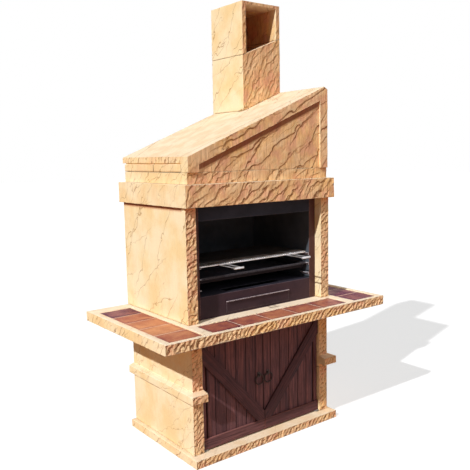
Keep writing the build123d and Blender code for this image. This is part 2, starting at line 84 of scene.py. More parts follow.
def times(tree, first, second):
    """One mask times another, or times a number."""
    return work_out(tree, "MULTIPLY", first, second)


def spread_over(tree, value, low, high, to_low=0.0, to_high=1.0):
    """Maps a mask from one span to another with soft ends."""
    spans = {"Value": value, "From Min": low, "From Max": high, "To Min": to_low, "To Max": to_high}
    return add_node(tree, "ShaderNodeMapRange", spans, interpolation_type="SMOOTHSTEP").outputs["Result"]


def blend(tree, mask, below, above, mode="MIX"):
    """Lays one colour over another where the mask is."""
    sides = {"Factor": mask, 6: below, 7: above}
    return add_node(tree, "ShaderNodeMix", sides, data_type="RGBA", blend_type=mode).outputs[2]


def random_mask(tree, place, scale, detail, roughness=0.5, distortion=0.0):
    """A mask of soft random spots."""
    inputs = {"Vector": place, "Scale": scale, "Detail": detail, "Roughness": roughness,
              "Distortion": distortion}
    return add_node(tree, "ShaderNodeTexNoise", inputs).outputs["Fac"]


def painted_on(tree, name):
    """A mask that the mesh carries."""
    return add_node(tree, "ShaderNodeAttribute", attribute_name=name).outputs["Fac"]


def new_material(name):
    """A material, its node tree and its surface shader."""
    made = bpy.data.materials.new(name)
    made.use_nodes = True
    return made, made.node_tree, made.node_tree.nodes["Principled BSDF"]


def raise_grain(tree, surface, height, distance, strength=1.0):
    """Lets a mask stand up from the surface as fine relief."""
    bump = add_node(tree, "ShaderNodeBump", {"Height": height, "Distance": distance, "Strength": strength})
    tree.links.new(bump.outputs["Normal"], surface.inputs["Normal"])


def add_object(name, data):
    """A new object in the scene."""
    made = bpy.data.objects.new(name, data)
    bpy.context.scene.collection.objects.link(made)
    return made


def shade_round(mesh):
    """Shades the faces as one round surface."""
    mesh.polygons.foreach_set("use_smooth", np.ones(len(mesh.polygons), dtype=bool))


def effect(name, inputs, outputs):
    """Empty node group with named sockets, and its two ends."""
    tree = bpy.data.node_groups.new(name, "ShaderNodeTree")
    for label, kind, value in inputs:
        socket = tree.interface.new_socket(label, in_out="INPUT", socket_type=kind)
        if value is not None:
            socket.default_value = value
    for label, kind in outputs:
        tree.interface.new_socket(label, in_out="OUTPUT", socket_type=kind)
    return tree, tree.nodes.new("NodeGroupInput").outputs, tree.nodes.new("NodeGroupOutput").inputs


# Soft clouds of tone and fine grit, as stone, clay, paint and wood all have.
mottle, given, result = effect(
    "mottle",
    [("Place", "NodeSocketVector", None), ("Cloud Scale", "NodeSocketFloat", 5.0),
     ("Grit Scale", "NodeSocketFloat", 300.0)],
    [("Cloud", "NodeSocketFloat"), ("Grit", "NodeSocketFloat")])
cloud = random_mask(mottle, given["Place"], given["Cloud Scale"], 5, 0.62)
grit = random_mask(mottle, given["Place"], given["Grit Scale"], 3, 0.6)
mottle.links.new(cloud, result["Cloud"])
mottle.links.new(grit, result["Grit"])


def mottled(tree, cloud_scale, grit_scale):
    """Puts the clouds and the grit in one material, and gives the place that they follow."""
    place = add_node(tree, "ShaderNodeTexCoord").outputs["Object"]
    inputs = {"Place": place, "Cloud Scale": cloud_scale, "Grit Scale": grit_scale}
    made = add_node(tree, "ShaderNodeGroup", inputs, node_tree=mottle).outputs
    return place, made["Cloud"], made["Grit"]


def lean_axes(lean):
    """Axes along and across lines that climb at one angle, to the right on a front face."""
    turn = math.radians(lean)
    along = Vector((math.cos(turn), -math.cos(turn), math.sin(turn)))
    across = Vector((math.sin(turn), -math.sin(turn), -math.cos(turn)))
    return along, across


# Long thin lines that wander over a cast face and bend at sharp kinks.
hairlines, given, result = effect(
    "hairlines",
    [("Place", "NodeSocketVector", None), ("Along", "NodeSocketVector", None),
     ("Across", "NodeSocketVector", None), ("Per Metre", "NodeSocketFloat", 8.0),
     ("Order", "NodeSocketFloat", 0.0), ("Gaps", "NodeSocketFloat", 0.5)],
    [("Line", "NodeSocketFloat")])
along_line = add_node(hairlines, "ShaderNodeVectorMath", {0: given["Place"], 1: given["Along"]},
                      operation="DOT_PRODUCT").outputs["Value"]
across_line = add_node(hairlines, "ShaderNodeVectorMath", {0: given["Place"], 1: given["Across"]},
                       operation="DOT_PRODUCT").outputs["Value"]
drawn_out = times(hairlines, along_line, 0.5)
flow = add_node(hairlines, "ShaderNodeCombineXYZ",
                {"X": drawn_out, "Y": across_line, "Z": given["Order"]}).outputs[0]
# in metres, how far a line bends and kinks, and half its width
bend_reach = 0.24
kink_reach = 0.17
line_reach = 0.003
gap_fade = 14.0
stray = times(hairlines, random_mask(hairlines, flow, 3, 1), bend_reach)
kink = work_out(hairlines, "SUBTRACT", random_mask(hairlines, flow, 12, 2, 0.6), 0.5)
kink = work_out(hairlines, "ABSOLUTE", kink)
stray = work_out(hairlines, "ADD", stray, times(hairlines, kink, kink_reach))
turns = times(hairlines, work_out(hairlines, "ADD", across_line, stray), given["Per Metre"])
phase = work_out(hairlines, "SUBTRACT", work_out(hairlines, "FRACT", turns), 0.5)
gap = work_out(hairlines, "ABSOLUTE", phase)
reach = times(hairlines, given["Per Metre"], line_reach)
line = work_out(hairlines, "SUBTRACT", 1.0, work_out(hairlines, "DIVIDE", gap, reach))
line = work_out(hairlines, "MAXIMUM", line, 0.0)
gate = add_node(hairlines, "ShaderNodeTexNoise", {"Vector": flow, "Scale": 5, "Detail": 1}).outputs["Color"]
shown = times(hairlines, work_out(hairlines, "SUBTRACT", gate, given["Gaps"]), gap_fade)
shown = work_out(hairlines, "MINIMUM", work_out(hairlines, "MAXIMUM", shown, 0.0), 1.0)
hairlines.links.new(times(hairlines, line, shown), result["Line"])


def cast_stone():
    """Cream cast stone: ochre split faces, painted shade in the clefts, painted highlight on the lips, pale
    arrises partly worn and partly painted highlight.
    """
    material, tree, surface = new_material("cast_stone")
    place, cloud, grit = mottled(tree, 5.5, 330.0)
    split = painted_on(tree, "split")
    level = painted_on(tree, "level")
    upright = add_node(tree, "ShaderNodeMapping", {"Vector": place, "Scale": (1, 1, 0.16)}).outputs[0]
    streak = random_mask(tree, upright, 95, 4)
    patch = random_mask(tree, place, 11, 3)
    cream = blend(tree, spread_over(tree, cloud, 0.36, 0.66), srgb(248, 233, 196), srgb(243, 218, 164))
    ochre = blend(tree, spread_over(tree, cloud, 0.36, 0.64), srgb(255, 213, 166), srgb(253, 202, 134))
    ochre = blend(tree, spread_over(tree, patch, 0.42, 0.66), ochre, srgb(246, 187, 148))
    trodden = blend(tree, spread_over(tree, patch, 0.4, 0.62), srgb(249, 226, 198), srgb(241, 212, 178))
    cream = blend(tree, times(tree, level, 0.8), cream, trodden)
    body = blend(tree, split, cream, ochre)
    grain = spread_over(tree, streak, 0.3, 0.7, 0.84, 1.12)
    body = blend(tree, work_out(tree, "ADD", times(tree, split, 0.8), 0.08), body,
                 blend(tree, 1.0, body, grain, "MULTIPLY"))
    # the lean of each family of hairlines, how many there are in a metre, and how broken they are
    families = ((27, 7.5, 0.47), (46, 8.5, 0.46), (64, 6.5, 0.49))
    vein = 0.0
    for order, (lean, per_metre, gaps) in enumerate(families):
        along, across = lean_axes(lean)
        inputs = {"Place": place, "Along": along, "Across": across, "Per Metre": per_metre,
                  "Order": 3.0 * order, "Gaps": gaps}
        lines = add_node(tree, "ShaderNodeGroup", inputs, node_tree=hairlines)
        vein = work_out(tree, "MAXIMUM", vein, lines.outputs["Line"])
    smooth = work_out(tree, "SUBTRACT", 1.0, times(tree, split, 0.4))
    upright_face = work_out(tree, "SUBTRACT", 1.0, times(tree, level, 0.3))
    vein = times(tree, vein, times(tree, smooth, upright_face))
    vein = times(tree, vein, painted_on(tree, "veined"))
    body = blend(tree, times(tree, vein, 0.8), body, srgb(166, 118, 62))
    body = blend(tree, 1.0, body, spread_over(tree, grit, 0.32, 0.7, 0.93, 1.05), "MULTIPLY")
    # pale patches on the arrises and level faces, partly wear and partly painted highlight
    worn_off = spread_over(tree, patch, 0.34, 0.52)
    worn_and_highlit = times(tree, painted_on(tree, "arris"), worn_off)
    # painted shade in the clefts, painted highlight on the lips, pale arrises partly worn and partly painted
    # highlight, dark joints, and a dark brown that is soot, and painted shade under the lintel, under the rim
    # and in the flue
    for mask, share, colour in ((painted_on(tree, "cleft_shade"), 0.92, srgb(126, 62, 14)),
                                (painted_on(tree, "lip_highlight"), 0.6, srgb(255, 232, 182)),
                                (worn_and_highlit, 0.65, srgb(254, 237, 214)),
                                (painted_on(tree, "joint"), 0.95, srgb(74, 42, 20)),
                                (painted_on(tree, "soot_and_shade"), 0.9, srgb(132, 56, 38))):
        body = blend(tree, times(tree, mask, share), body, colour)
    height = times(tree, vein, -0.8)
    height = work_out(tree, "ADD", height, times(tree, grit, 0.3))
    ridges = times(tree, streak, work_out(tree, "ADD", split, 0.4))
    raise_grain(tree, surface, work_out(tree, "ADD", height, ridges), 0.0022, 0.9)
    tree.links.new(body, surface.inputs["Base Color"])
    tree.links.new(spread_over(tree, cloud, 0.3, 0.7, 0.78, 0.93), surface.inputs["Roughness"])
    surface.inputs["Specular IOR Level"].default_value = 0.08
    return material


stone = cast_stone()
stone_nodes = [row["node"] for row in frame["record"]["subparts"] if row["material_slot"] == "cast_stone"]
block_trees = {}
for name in stone_nodes:
    shape = nodes[name].data
    block_trees[name] = BVHTree.FromPolygons([point.co for point in shape.vertices],
                                             [face.vertices for face in shape.polygons])


def smooth_step(value, low, high):
    """0 below low, 1 above high, and a soft rise between them."""
    share = np.clip((value - low) / (high - low), 0, 1)
    return share * share * (3 - 2 * share)


def paint_mask(mesh, name, values):
    """Stores one mask on the mesh's points."""
    mask = mesh.attributes.new(name, "FLOAT", "POINT")
    mask.data.foreach_set("value", np.asarray(values, dtype=np.float32))


def read_points(mesh):
    """Places and normals of a mesh's points."""
    found = []
    for field in ("co", "normal"):
        numbers = np.empty(len(mesh.vertices) * 3)
        mesh.vertices.foreach_get(field, numbers)
        found.append(numbers.reshape(-1, 3))
    return found


same_place = 0.00001


def welded(node):
    """Copy of a node's mesh with its faces joined along their shared edges."""
    shape = bmesh.new()
    shape.from_mesh(nodes[node].data)
    bmesh.ops.remove_doubles(shape, verts=shape.verts, dist=same_place)
    bmesh.ops.dissolve_limit(shape, angle_limit=0.01, verts=shape.verts, edges=shape.edges)
    return shape


def grid_stops(corners, cell, hem):
    """Where a grid cuts one axis: a hem to both sides of every corner and evenly between them."""
    stops = []
    for low, high in zip(corners, corners[1:]):
        if high - low < 3 * hem:
            continue
        count = max(1, round((high - low - 2 * hem) / cell))
        stops += [low + hem + (high - low - 2 * hem) * step / count for step in range(count + 1)]
    return stops


def cut_grid(shape, cell, hem):
    """Cuts a shape along a grid in all three directions, with a hem beside every corner."""
    corners = [sorted({round(point.co[axis], 4) for point in shape.verts}) for axis in range(3)]
    for axis in range(3):
        along = Vector([axis == 0, axis == 1, axis == 2])
        for stop in grid_stops(corners[axis], cell, hem):
            whole = shape.verts[:] + shape.edges[:] + shape.faces[:]
            bmesh.ops.bisect_plane(shape, geom=whole, dist=same_place, plane_co=along * stop, plane_no=along)


def gridded(node, cell, is_fine):
    """The node's shape on a grid with true arrises, finer on the faces that are split."""
    arris_hem = 0.0028
    fine_cuts = 2
    shape = welded(node)
    cut_grid(shape, cell, arris_hem)
    shape.normal_update()
    edges = {edge for face in shape.faces if is_fine(face.normal) for edge in face.edges}
    if edges:
        bmesh.ops.subdivide_edges(shape, edges=list(edges), cuts=fine_cuts, use_grid_fill=True)
    mesh = bpy.data.meshes.new(node + "_stone")
    shape.to_mesh(mesh)
    shape.free()
    return mesh


sharp_turn = math.radians(35)


def arris_mask(mesh):
    """1 at the points on a sharp edge and 0 elsewhere."""
    mesh.set_sharp_from_angle(angle=sharp_turn)
    ends = np.empty(len(mesh.edges) * 2, dtype=np.int64)
    mesh.edges.foreach_get("vertices", ends)
    sharp = np.array([edge.use_edge_sharp for edge in mesh.edges])
    mask = np.zeros(len(mesh.vertices))
    mask[ends.reshape(-1, 2)[sharp].ravel()] = 1
    return mask


def terraces(places, wanted, spacing, lean, wander, cover, run, seed):
    """Low steps in a split face: how far each point has fallen, its painted shade in a cleft and its painted
    highlight near a lip.
    """
    along, across = lean_axes(lean)
    fallen = np.zeros(len(places))
    cleft_shade = np.zeros(len(places))
    lip_highlight = np.zeros(len(places))
    # in metres: the drop of a step, the reach of the painted shade in its cleft, and the place and reach of
    # the painted highlight on its lip
    drop = 0.0045
    cleft_shade_reach = 0.0041
    lip_highlight_place = 0.008
    lip_highlight_reach = 0.005
    for index in np.nonzero(wanted)[0]:
        spot = Vector(places[index])
        flow = Vector((spot.dot(along) * run, spot.dot(across), seed))
        # a slow bend, then sharp kinks of two sizes
        stray = noise.noise(flow * (0.3 / wander)) * 0.9
        stray += abs(noise.noise(flow * (0.7 / wander))) * 0.9
        stray += abs(noise.noise(flow * (1.8 / wander))) * 0.4
        strength = noise.fractal(flow * (0.6 / spacing), 0.8, 2.0, 2) * 0.6 + cover
        strength = min(max(strength / 0.3, 0), 1)
        ahead = (flow.y + stray * wander) % spacing
        left = spacing - ahead
        fallen[index] = strength * (1 - min(ahead / (spacing - drop), left / drop))
        cleft_shade[index] = strength * max(0, 1 - min(ahead, left) / cleft_shade_reach)
        lip_highlight[index] = strength * max(0, 1 - abs(left - lip_highlight_place) / lip_highlight_reach)
    return fallen, cleft_shade, lip_highlight


def cast_block(node, cell, front, side, soot_and_shade_paint=None):
    """A cast block. front and side say how those faces are: families of steps, their depth, and the ochre;
    the last argument paints soot and painted shade.
    """
    def is_fine(normal):
        return front["steps"] and normal.y < -0.6 or side["steps"] and normal.x < -0.6

    mesh = gridded(node, cell, is_fine)
    arris = arris_mask(mesh)
    places, normals = read_points(mesh)
    count = len(places)
    facing_front = smooth_step(-normals[:, 1], 0.3, 0.65)
    sideways = np.maximum(np.abs(normals[:, 0]), normals[:, 1])
    facing_side = smooth_step(sideways, 0.3, 0.65) * (1 - facing_front)
    hollow = np.zeros(count)
    cleft_shade = np.zeros(count)
    lip_highlight = np.zeros(count)
    # each family of steps sinks the face and paints shade into its clefts and a highlight onto its lips
    for share, face in ((facing_front, front), (facing_side, side)):
        for order, step in enumerate(face["steps"]):
            seed = len(node) % 7 + 1 + 5 * order
            fallen, painted_shade, painted_highlight = terraces(places, share > 0.02, *step, seed)
            hollow += share * face["depth"] * fallen
            cleft_shade = np.maximum(cleft_shade, share * painted_shade * face["painted_shade"])
            lip_highlight = np.maximum(lip_highlight, share * painted_highlight)
    wear = np.array([noise.fractal(Vector(place) * 34, 0.8, 2.1, 3) for place in places])
    rough = np.maximum(facing_front * front["depth"], facing_side * side["depth"])
    least_wear = 0.0005
    most_wear = 0.0012
    sand_depth = 0.0003
    hollow += arris * (least_wear + (most_wear + 0.8 * rough) * smooth_step(wear, 0.0, 0.7))
    hollow += (sand_depth + 0.25 * rough) * smooth_step(wear, -1, 1)
    joint = np.zeros(count)
    joint_reach = 0.0015
    joint_depth = 0.002
    touching = [tree for name, tree in block_trees.items() if name != node]
    for index in np.nonzero(arris)[0]:
        spot = Vector(places[index])
        if any(tree.find_nearest(spot, joint_reach)[0] is not None for tree in touching):
            joint[index] = 1
    hollow += joint * joint_depth
    places -= normals * hollow[:, None]
    mesh.vertices.foreach_set("co", places.ravel())
    # soot and painted shade, as the block's own function gives them
    soot_and_shade_amount = np.zeros(count) if soot_and_shade_paint is None else soot_and_shade_paint(places, normals)
    ochre = facing_front * front["ochre"] + facing_side * side["ochre"]
    ochre = np.maximum(ochre, smooth_step(soot_and_shade_amount, 0.0, 0.2))
    level = smooth_step(np.abs(normals[:, 2]), 0.5, 0.8)
    # pale tone on the arrises and, where the face asks for it, on level faces: partly wear, partly painted
    # highlight
    wear_and_highlight = np.maximum(arris, level * front.get("wear_and_highlight", 0.0))
    masks = {"split": ochre, "cleft_shade": cleft_shade, "lip_highlight": lip_highlight, "arris": wear_and_highlight, "joint": joint, "level": level,
             "soot_and_shade": soot_and_shade_amount, "veined": np.full(count, side.get("veined", 1.0))}
    for name, mask in masks.items():
        paint_mask(mesh, name, mask)
    shade_round(mesh)
    mesh.update()
    mesh.materials.append(stone)
    block = add_object(node + "_stone", mesh)
    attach(block, "base")
    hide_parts(node)


# Each family of steps is given by its spacing, lean, wander, cover, and run: low for long lines.
# Depth is in metres; the other entries say how strongly a face shows the ochre, the painted
# shade in the clefts, the veins, and a pale tone on level faces, partly wear and partly painted highlight.
rough_edge = {"steps": ((0.025, 44, 0.022, 0.42, 0.8), (0.028, 76, 0.022, 0.14, 0.9)),
              "depth": 0.0055, "ochre": 1.0, "painted_shade": 1.0}
chipped_edge = {"steps": ((0.036, 50, 0.02, 0.05, 0.8),), "depth": 0.0022, "ochre": 0.25, "painted_shade": 0.8,
                "veined": 0.6}
close_grid = 0.0095
cast_block("base_slab", close_grid, rough_edge, chipped_edge)


# Base walls. Each side is two cast blocks, the upper one with a ledge moulded round its
# side and front; the back is two plain blocks let in between them. Side faces are
# smooth from the mould with faint veins, the narrow front ends are split.
plain_grid = 0.015
smooth_face = {"steps": (), "depth": 0.0, "ochre": 0.1}
split_end = {"steps": ((0.026, 34, 0.024, 0.34, 1.0), (0.024, 72, 0.022, 0.16, 1.0)),
             "depth": 0.0036, "ochre": 1.0, "painted_shade": 1.0}
for side in ("left", "right"):
    for course in ("lower", "upper"):
        cast_block(f"base_wall_{side}_{course}", close_grid, split_end, dict(smooth_face, veined=0.6))
for course in ("lower", "upper"):
    cast_block(f"base_wall_back_{course}", plain_grid, smooth_face, smooth_face)


# Worktop. One wide cast slab with a smooth cream top, paled partly as wear and partly as painted
# highlight, rough split edges and three shallow pockets for the tiles.
wide_grid = 0.0105
cast_block("worktop", wide_grid, dict(rough_edge, wear_and_highlight=1.0), chipped_edge)


# Firebox walls. Two tall cast blocks with smooth, faintly veined sides and split front
# ends, and a back wall let in between them, sooted where the fire stands. A painted shadow
# darkens the outer faces of the side walls under the lintel.
def turned_to(share):
    """1 where a face looks one way, by the share of its normal along that way."""
    return smooth_step(share, 0.5, 0.9)


def inside_fire(places, normals):
    """Soot on the faces of the walls that look into the firebox."""
    half_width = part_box("firebox_wall_right")[0][0]
    inward = turned_to(-normals[:, 0] * np.sign(places[:, 0]))
    toward_front = turned_to(-normals[:, 1]) * (np.abs(places[:, 0]) < half_width)
    return np.maximum(inward, toward_front) * 0.6


def painted_lintel_shadow(places, normals):
    """Painted shadow under the lintel on the outer faces of the walls, but not at the front."""
    low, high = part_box("firebox_wall_left")
    band = (0.023, 0.016)
    clear_front = (0.034, 0.04)
    outward = turned_to(normals[:, 0] * np.sign(places[:, 0]))
    sheltered = smooth_step(places[:, 2], high[2] - band[0], high[2] - band[1])
    behind = smooth_step(places[:, 1], low[1] + clear_front[0], low[1] + clear_front[1])
    return outward * sheltered * behind * 0.85


# the side walls carry a painted shadow under the lintel
for side in ("left", "right"):
    cast_block(f"firebox_wall_{side}", close_grid, split_end, smooth_face, painted_lintel_shadow)
cast_block("firebox_wall_back", plain_grid, smooth_face, smooth_face, inside_fire)


# Lintel ring and low course. Two cast rings laid on the firebox walls carry the hood. The
# lintel stands out at the front and sides and is deeply cleft like bark.
bark_front = {"steps": ((0.046, 36, 0.03, 0.26, 0.7), (0.05, 64, 0.028, 0.12, 0.7)),
              "depth": 0.0036, "ochre": 0.95, "painted_shade": 0.9}
bark_side = {"steps": ((0.06, 48, 0.05, 0.0, 0.6),), "depth": 0.0012, "ochre": 0.2, "painted_shade": 0.7}
cast_block("lintel_ring", close_grid, bark_front, bark_side)
cast_block("hood_course", close_grid, dict(bark_front, depth=0.0026), bark_side)


# Hood. A front panel with a raised rim, a low wall on the left in two lengths, a high wall
# on the right and a back wall, all cast, hold up one sloping slab. A painted shadow lies in
# the sunk field of the panel, close under its sloping rim.
river_front = {"steps": ((0.098, 30, 0.055, 0.2, 0.5), (0.09, 50, 0.05, 0.16, 0.5)),
               "depth": 0.0032, "ochre": 0.92, "painted_shade": 1.0}
roof_edge = {"steps": ((0.03, 62, 0.02, 0.25, 0.8),), "depth": 0.0028, "ochre": 0.4, "painted_shade": 0.8}


def painted_rim_shadow(places, normals):
    """Painted shadow in the sunk field of the front panel, close under its sloping rim."""
    low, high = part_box("hood_gable_front")
    roof_slope = 0.4032
    ridge = 0.474
    rim_height = 0.07
    rim_width = 0.06
    right_rim = (0.45, 0.43)
    field_depth = 0.006
    band = (0.034, 0.026)
    rim_foot = high[2] - rim_height - roof_slope * (ridge - places[:, 0])
    below = rim_foot - places[:, 2]
    sunk = smooth_step(places[:, 1], low[1] + field_depth, low[1] + field_depth + 0.003)
    sunk *= turned_to(-normals[:, 1])
    inside = smooth_step(places[:, 0], low[0] + rim_width, low[0] + rim_width + 0.015)
    inside *= smooth_step(-places[:, 0], -right_rim[0], -right_rim[1])
    return sunk * inside * smooth_step(-below, -band[0], -band[1]) * 0.85


# the front panel carries a painted shadow under its rim
cast_block("hood_gable_front", close_grid, river_front, bark_side, painted_rim_shadow)
for length in ("front", "rear"):
    cast_block(f"hood_wall_left_{length}", close_grid, smooth_face, dict(smooth_face, ochre=0.3))
for side in ("right", "back"):
    cast_block(f"hood_wall_{side}", plain_grid, smooth_face, smooth_face)
cast_block("roof_slab", wide_grid, smooth_face, roof_edge)


# Chimney. A hollow block on the roof and a cap with an open front, joined on a slant that
# runs with the roof. Inside they are darkened by smoke and painted shade; a painted shade
# also darkens their fronts, more towards the top.
def flue_smoke_and_shade(places, normals):
    """Smoke stain with painted shade on the faces that look into the flue, and painted shade on the front,
    darker towards the top.
    """
    low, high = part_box("chimney_cap")
    wall = 0.02
    inner = (places[:, 0] > low[0] + wall) & (places[:, 0] < high[0] - wall)
    inner &= (places[:, 1] > low[1] + wall) & (places[:, 1] < high[1] - wall)
    inner &= places[:, 2] < high[2] - wall / 2
    # inside: smoke stain with painted shade, deeper towards the back and lighter on the ceiling, which is
    # painted as lit
    smoke_and_shade_start = (0.03, 0.2)
    deep = smooth_step(places[:, 1], low[1] + smoke_and_shade_start[0], low[1] + smoke_and_shade_start[1])
    ceiling = normals[:, 2] < -0.5
    smoke_and_shade = inner * (0.1 + 0.36 * deep) * (1 - 0.6 * ceiling)
    # outside: painted shade on the front faces, darker towards the top
    outer = turned_to(-normals[:, 1]) * (places[:, 1] < low[1] + wall / 2)
    front_darkening_length = 0.3
    near_mouth = smooth_step(places[:, 2], low[2] - front_darkening_length, low[2])
    return np.maximum(smoke_and_shade, outer * (0.08 + 0.1 * near_mouth))


board_front = {"steps": ((0.036, 64, 0.024, 0.3, 0.6), (0.05, 44, 0.028, 0.14, 0.6)),
               "depth": 0.0032, "ochre": 1.0, "painted_shade": 0.5}
for block in ("chimney_block", "chimney_cap"):
    cast_block(block, close_grid, board_front, smooth_face, flue_smoke_and_shade)


# Clay tiles. Fifteen unglazed terracotta tiles sit in the pockets of the worktop; each is a
# little darker or lighter as it came from the kiln, and browner along its rim. The tiles on the
# right are darkened further as painted shade.
def terracotta():
    """Fired clay, orange in the middle and plum brown where the kiln burnt it; its darkest plum is painted
    shade.
    """
    material, tree, surface = new_material("terracotta")
    place, cloud, grit = mottled(tree, 10.0, 420.0)
    kiln_tone_and_shade = painted_on(tree, "kiln_tone_and_shade")
    rim = painted_on(tree, "rim")
    darkened = work_out(tree, "ADD", kiln_tone_and_shade, times(tree, rim, 0.3))
    drifting = times(tree, work_out(tree, "SUBTRACT", cloud, 0.5), 1.3)
    darkened = work_out(tree, "ADD", darkened, drifting)
    # the dark plum end of the ramp is reached mostly by the painted shade of the tiles on the right
    ramp = add_node(tree, "ShaderNodeValToRGB", {"Fac": darkened})
    ramp.color_ramp.elements[0].color = srgb(214, 148, 104)
    ramp.color_ramp.elements[1].color = srgb(94, 38, 62)
    middle = ramp.color_ramp.elements.new(0.5)
    middle.color = srgb(174, 102, 80)
    speck = spread_over(tree, random_mask(tree, place, 90, 3), 0.56, 0.72, 0.0, 0.35)
    body = blend(tree, speck, ramp.outputs["Color"], srgb(214, 150, 124))
    body = blend(tree, 1.0, body, spread_over(tree, grit, 0.3, 0.7, 0.88, 1.08), "MULTIPLY")
    raise_grain(tree, surface, grit, 0.0004, 0.5)
    tree.links.new(body, surface.inputs["Base Color"])
    tree.links.new(spread_over(tree, cloud, 0.3, 0.7, 0.4, 0.6), surface.inputs["Roughness"])
    surface.inputs["Specular IOR Level"].default_value = 0.14
    return material


clay = terracotta()


def islands(mesh):
    """Number of the loose part that each point belongs to."""
    ends = np.empty(len(mesh.edges) * 2, dtype=np.int64)
    mesh.edges.foreach_get("vertices", ends)
    ends = ends.reshape(-1, 2)
    part = np.arange(len(mesh.vertices))
    while True:
        lowest = part.copy()
        np.minimum.at(lowest, ends[:, 0], part[ends[:, 1]])
        np.minimum.at(lowest, ends[:, 1], part[ends[:, 0]])
        lowest = lowest[lowest]
        if (lowest == part).all():
            return np.unique(part, return_inverse=True)[1]
        part = lowest


def tile_bed(node, kiln_tone_and_shade):
    """Tiles with a slightly crowned face and rounded edges, each with its own given tone, which for the tiles
    on the right includes painted shade.
    """
    shape = welded(node)
    whole = bpy.data.meshes.new(node + "_whole")
    shape.to_mesh(whole)
    shape.free()
    places = read_points(whole)[0]
    part = islands(whole)
    corners = [(places[part == number].min(axis=0), places[part == number].max(axis=0))
               for number in range(part.max() + 1)]
    bpy.data.meshes.remove(whole)
    along = int(np.ptp([low[1] for low, _ in corners]) > np.ptp([low[0] for low, _ in corners]))
    corners.sort(key=lambda pair: pair[0][along])
    round_off = 0.0035
    rim_width = 0.022
    crown = 0.00015
    inner_lines = 15
    steps = np.array([0, 0.3, 0.65, 1]) * round_off
    points = []
    faces = []
    shades = []
    rims = []
    for (low, high), shade in zip(corners, kiln_tone_and_shade):
        lines = []
        for axis in (0, 1):
            inner = np.linspace(low[axis] + round_off, high[axis] - round_off, inner_lines + 2)[1:-1]
            lines.append(np.concatenate((low[axis] + steps, inner, high[axis] - steps[::-1])))
        first = len(points)
        across, deep = lines
        for y in deep:
            for x in across:
                edge = min(x - low[0], high[0] - x, y - low[1], high[1] - y)
                drop = round_off - math.sqrt(max(round_off ** 2 - max(round_off - edge, 0) ** 2, 0))
                wave = crown * (1 + noise.noise(Vector((x * 14, y * 14, shade * 9))))
                points.append((x, y, high[2] - drop - wave))
                rims.append(1 - smooth_step(edge, 0.0, rim_width))
                shades.append(shade)
        wide = len(across)
        long = len(deep)
        for row in range(long - 1):
            for column in range(wide - 1):
                corner = first + row * wide + column
                faces.append((corner, corner + 1, corner + wide + 1, corner + wide))
        border = [first + column for column in range(wide)]
        border += [first + row * wide + wide - 1 for row in range(1, long)]
        border += [first + (long - 1) * wide + column for column in range(wide - 2, -1, -1)]
        border += [first + row * wide for row in range(long - 2, 0, -1)]
        foot = len(points)
        for corner in border:
            points.append((points[corner][0], points[corner][1], low[2]))
            shades.append(shade)
            rims.append(1)
        for step in range(len(border)):
            after = (step + 1) % len(border)
            faces.append((border[after], border[step], foot + step, foot + after))
        faces.append(tuple(foot + step for step in range(len(border) - 1, -1, -1)))
    mesh = bpy.data.meshes.new(node + "_clay")
    mesh.from_pydata(points, [], faces)
    paint_mask(mesh, "kiln_tone_and_shade", shades)
    paint_mask(mesh, "rim", rims)
    shade_round(mesh)
    mesh.materials.append(clay)
    tiles = add_object(node + "_clay", mesh)
    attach(tiles, "base")
    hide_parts(node)


tile_bed("worktop_tiles_front", (0.6, 0.5, 0.42, 0.5, 0.66))
tile_bed("worktop_tiles_left", (0.36, 0.13, 0.16, 0.36, 0.9))
# the tiles on the right get the darkest tones, as painted shade
tile_bed("worktop_tiles_right", (0.8, 0.88, 1.0, 1.1, 1.15))


# Grout. Pinkish mortar, struck off by hand, fills the joints of the tiles to just under
# their faces. Its rough bed runs under each row of tiles.
def pink_mortar():
    """Sandy mortar, a little pinker than the stone."""
    material, tree, surface = new_material("mortar")
    _, cloud, grit = mottled(tree, 16.0, 260.0)
    body = blend(tree, spread_over(tree, cloud, 0.35, 0.65), srgb(240, 208, 184), srgb(222, 178, 150))
    body = blend(tree, 1.0, body, spread_over(tree, grit, 0.3, 0.7, 0.86, 1.05), "MULTIPLY")
    raise_grain(tree, surface, grit, 0.0008)
    tree.links.new(body, surface.inputs["Base Color"])
    surface.inputs["Roughness"].default_value = 0.9
    return material


mortar = pink_mortar()


def grout_bed(node):
    """A thin rough bed as large as the pocket, which the tiles stand up through."""
    low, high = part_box(node)
    margin = 0.002
    cell = 0.006
    below_tiles = 0.0005
    roughness = 0.0003
    bed_depth = 0.006
    wide = round((high[0] - low[0] + 2 * margin) / cell)
    long = round((high[1] - low[1] + 2 * margin) / cell)
    top = high[2] - below_tiles
    points = []
    for row in range(long + 1):
        for column in range(wide + 1):
            x = low[0] - margin + (high[0] - low[0] + 2 * margin) * column / wide
            y = low[1] - margin + (high[1] - low[1] + 2 * margin) * row / long
            points.append((x, y, top - roughness * (1 + noise.noise(Vector((x, y, 0)) * 90))))
    faces = [(row * (wide + 1) + column, row * (wide + 1) + column + 1,
              (row + 1) * (wide + 1) + column + 1, (row + 1) * (wide + 1) + column)
             for row in range(long) for column in range(wide)]
    mesh = bpy.data.meshes.new(node + "_grout")
    mesh.from_pydata(points, [], faces)
    mesh.materials.append(mortar)
    bed = add_object(node + "_grout", mesh)
    thick = bed.modifiers.new("thick", "SOLIDIFY")
    thick.thickness = bed_depth
    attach(bed, "base")


for run in ("front", "left", "right"):
    grout_bed(f"worktop_tiles_{run}")


